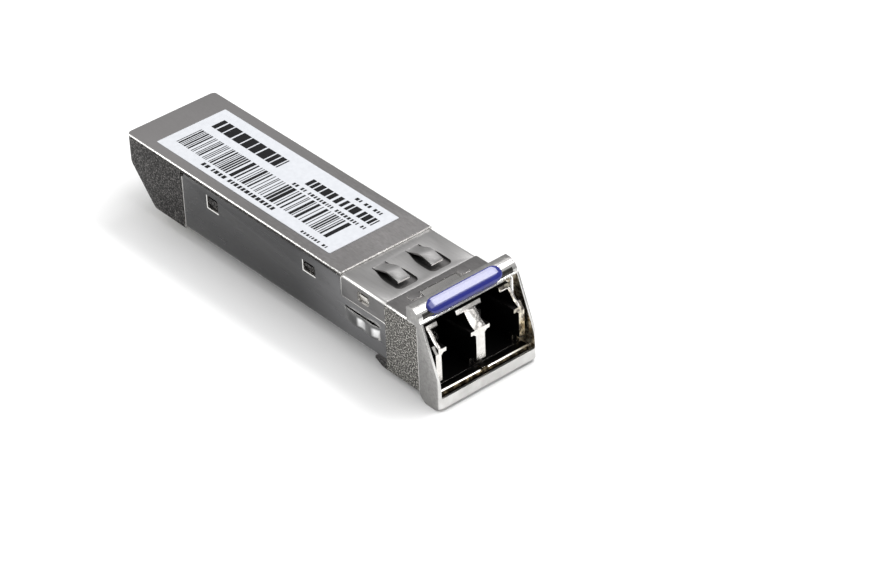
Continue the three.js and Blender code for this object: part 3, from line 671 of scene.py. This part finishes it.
def grip_bead():
    """A smooth moulded bead over the bail's bend, rounded at its ends and along both sides."""
    low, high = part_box("bail_grip")
    centre_x = high.x - BEAD_OUTER * math.cos(BEAD_LOWEST)
    centre_z = high.z - BEAD_OUTER * math.sin(BEAD_HIGHEST)
    centre = Vector((centre_x, 0, centre_z))
    bm = bmesh.new()
    rings = []
    for i in range(BEAD_ALONG + 1):
        y = low.y + (high.y - low.y) * (0.5 - 0.5 * math.cos(math.pi * i / BEAD_ALONG))
        inset = max(BEAD_HALF_ARC - (y - low.y), BEAD_HALF_ARC - (high.y - y), 0) / BEAD_HALF_ARC
        width = BEAD_HALF_ARC * math.sqrt(max(1 - inset**2, THINNEST))
        ring = []
        for j in range(2 * BEAD_ACROSS):
            s = math.cos(math.pi * j / BEAD_ACROSS)
            angle = BEAD_MIDDLE + s * width / BEAD_OUTER
            on_outside = j <= BEAD_ACROSS
            radius = bead_radius(angle, s, inset) if on_outside else BEAD_INNER
            offset = Vector((radius * math.cos(angle), y, radius * math.sin(angle)))
            ring.append(bm.verts.new(centre + offset))
        rings.append(ring)
    skin_rings(bm, rings)
    piece = new_piece("grip_bead", bm, finishes["blue_grip"])
    shade(piece, ROUND_ANGLE)
    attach(piece, "bail")
    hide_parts("bail_grip")


grip_bead()


# ---- slider return spring -----------------------------------------------------------------------------
SPRING_TURNS = 6
SPRING_STEPS = 24  # rings for each turn
WIRE_SIDES = 10
WIRE_RADIUS = 0.095 * MM


def return_spring():
    """A coil of round wire in the CAD spring's place."""
    low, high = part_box("slider_return_spring")
    coil_radius = (high.z - low.z) / 2 - WIRE_RADIUS
    middle = (low + high) / 2
    start, end = low.x + WIRE_RADIUS, high.x - WIRE_RADIUS
    along_module = Vector((1, 0, 0))
    bm = bmesh.new()
    rings = []
    for i in range(SPRING_TURNS * SPRING_STEPS + 1):
        turn = 2 * math.pi * i / SPRING_STEPS
        outward = Vector((0, math.sin(turn), math.cos(turn)))
        x = start + (end - start) * i / (SPRING_TURNS * SPRING_STEPS)
        centre = Vector((x, middle.y, middle.z)) + outward * coil_radius
        ring = []
        for j in range(WIRE_SIDES):
            side = 2 * math.pi * j / WIRE_SIDES
            offset = outward * math.cos(side) + along_module * math.sin(side)
            ring.append(bm.verts.new(centre + offset * WIRE_RADIUS))
        rings.append(ring)
    skin_rings(bm, rings)
    piece = new_piece("return_spring", bm, finishes["bright_steel"])
    shade(piece, ROUND_ANGLE)
    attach(piece, ROOT)
    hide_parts("slider_return_spring")
    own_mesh(piece)


return_spring()


# ---- stage, light and camera --------------------------------------------------------------------------
HORIZON_LEVEL = 0.36
ZENITH_LEVEL = 0.85
FLOOR_HALF = 1.5
FLOOR_TONE = (0.9, 0.9, 0.9, 1)


def pale_floor():
    """A large matt floor under the object."""
    bm = bmesh.new()
    bmesh.ops.create_grid(bm, x_segments=1, y_segments=1, size=FLOOR_HALF)
    paint = Paint("floor_white", Roughness=0.9, Base_Color=FLOOR_TONE)
    floor = new_piece("floor", bm, paint.material)


def grey_sky():
    """A surround that brightens from the horizon up."""
    world = bpy.data.worlds.new("studio")
    world.use_nodes = True
    tree = world.node_tree
    coords = tree.nodes.new("ShaderNodeTexCoord")
    height = tree.nodes.new("ShaderNodeSeparateXYZ")
    sky = tree.nodes.new("ShaderNodeValToRGB")
    for element, position, level in zip(sky.color_ramp.elements, (0.0, 1.0), (HORIZON_LEVEL, ZENITH_LEVEL)):
        element.position = position
        element.color = (level, level, level, 1)
    tree.links.new(coords.outputs["Generated"], height.inputs[0])
    tree.links.new(height.outputs["Z"], sky.inputs["Fac"])
    tree.links.new(sky.outputs["Color"], tree.nodes["Background"].inputs["Color"])
    bpy.context.scene.world = world


def softbox(name, direction, distance, size, watts, along=(0, 1, 0)):
    """A soft rectangular light aimed at the object, with its first side along the given direction."""
    light = bpy.data.lights.new(name, "AREA")
    light.shape = "RECTANGLE"
    light.size, light.size_y = size
    light.energy = watts
    lamp = bpy.data.objects.new(name, light)
    bpy.context.collection.objects.link(lamp)
    back = Vector(direction).normalized()
    across = (Vector(along) - Vector(along).project(back)).normalized()
    turn = Matrix((across, back.cross(across), back)).transposed()
    lamp.matrix_world = Matrix.LocRotScale(back * distance, turn, None)


CAMERA_AZIMUTH = 50.555
CAMERA_ELEVATION = 35.062
CAMERA_ROLL = -2.485
CAMERA_DISTANCE = 380.8 * MM
CAMERA_AIM = Vector((10.25, 7.92, 1.12)) * MM
LENS_MM = 137.74


def camera():
    a, e = math.radians(CAMERA_AZIMUTH), math.radians(CAMERA_ELEVATION)
    back = Vector((math.sin(a) * math.cos(e), -math.cos(a) * math.cos(e), math.sin(e)))
    data = bpy.data.cameras.new("camera")
    data.lens = LENS_MM
    data.clip_start, data.clip_end = 0.01, 10
    view = bpy.data.objects.new("camera", data)
    bpy.context.collection.objects.link(view)
    view.location = CAMERA_AIM + back * CAMERA_DISTANCE
    turn = (-back).to_track_quat("-Z", "Y")
    view.rotation_mode = "QUATERNION"
    view.rotation_quaternion = turn @ Quaternion((0, 0, 1), math.radians(CAMERA_ROLL))
    bpy.context.scene.camera = view


pale_floor()
grey_sky()
softbox("key", (0.45, 0.25, 0.9), distance=0.7, size=(0.5, 0.5), watts=2.0)
softbox("strip", (0.09, 0.5, 0.785), distance=0.54, size=(0.42, 0.11), watts=1.3, along=(0.7, 0, -0.2))
softbox("rim", (-0.63, -0.57, 0.52), distance=0.7, size=(0.3, 0.3), watts=1.1)
camera()
bpy.context.scene.view_settings.view_transform = "Standard"
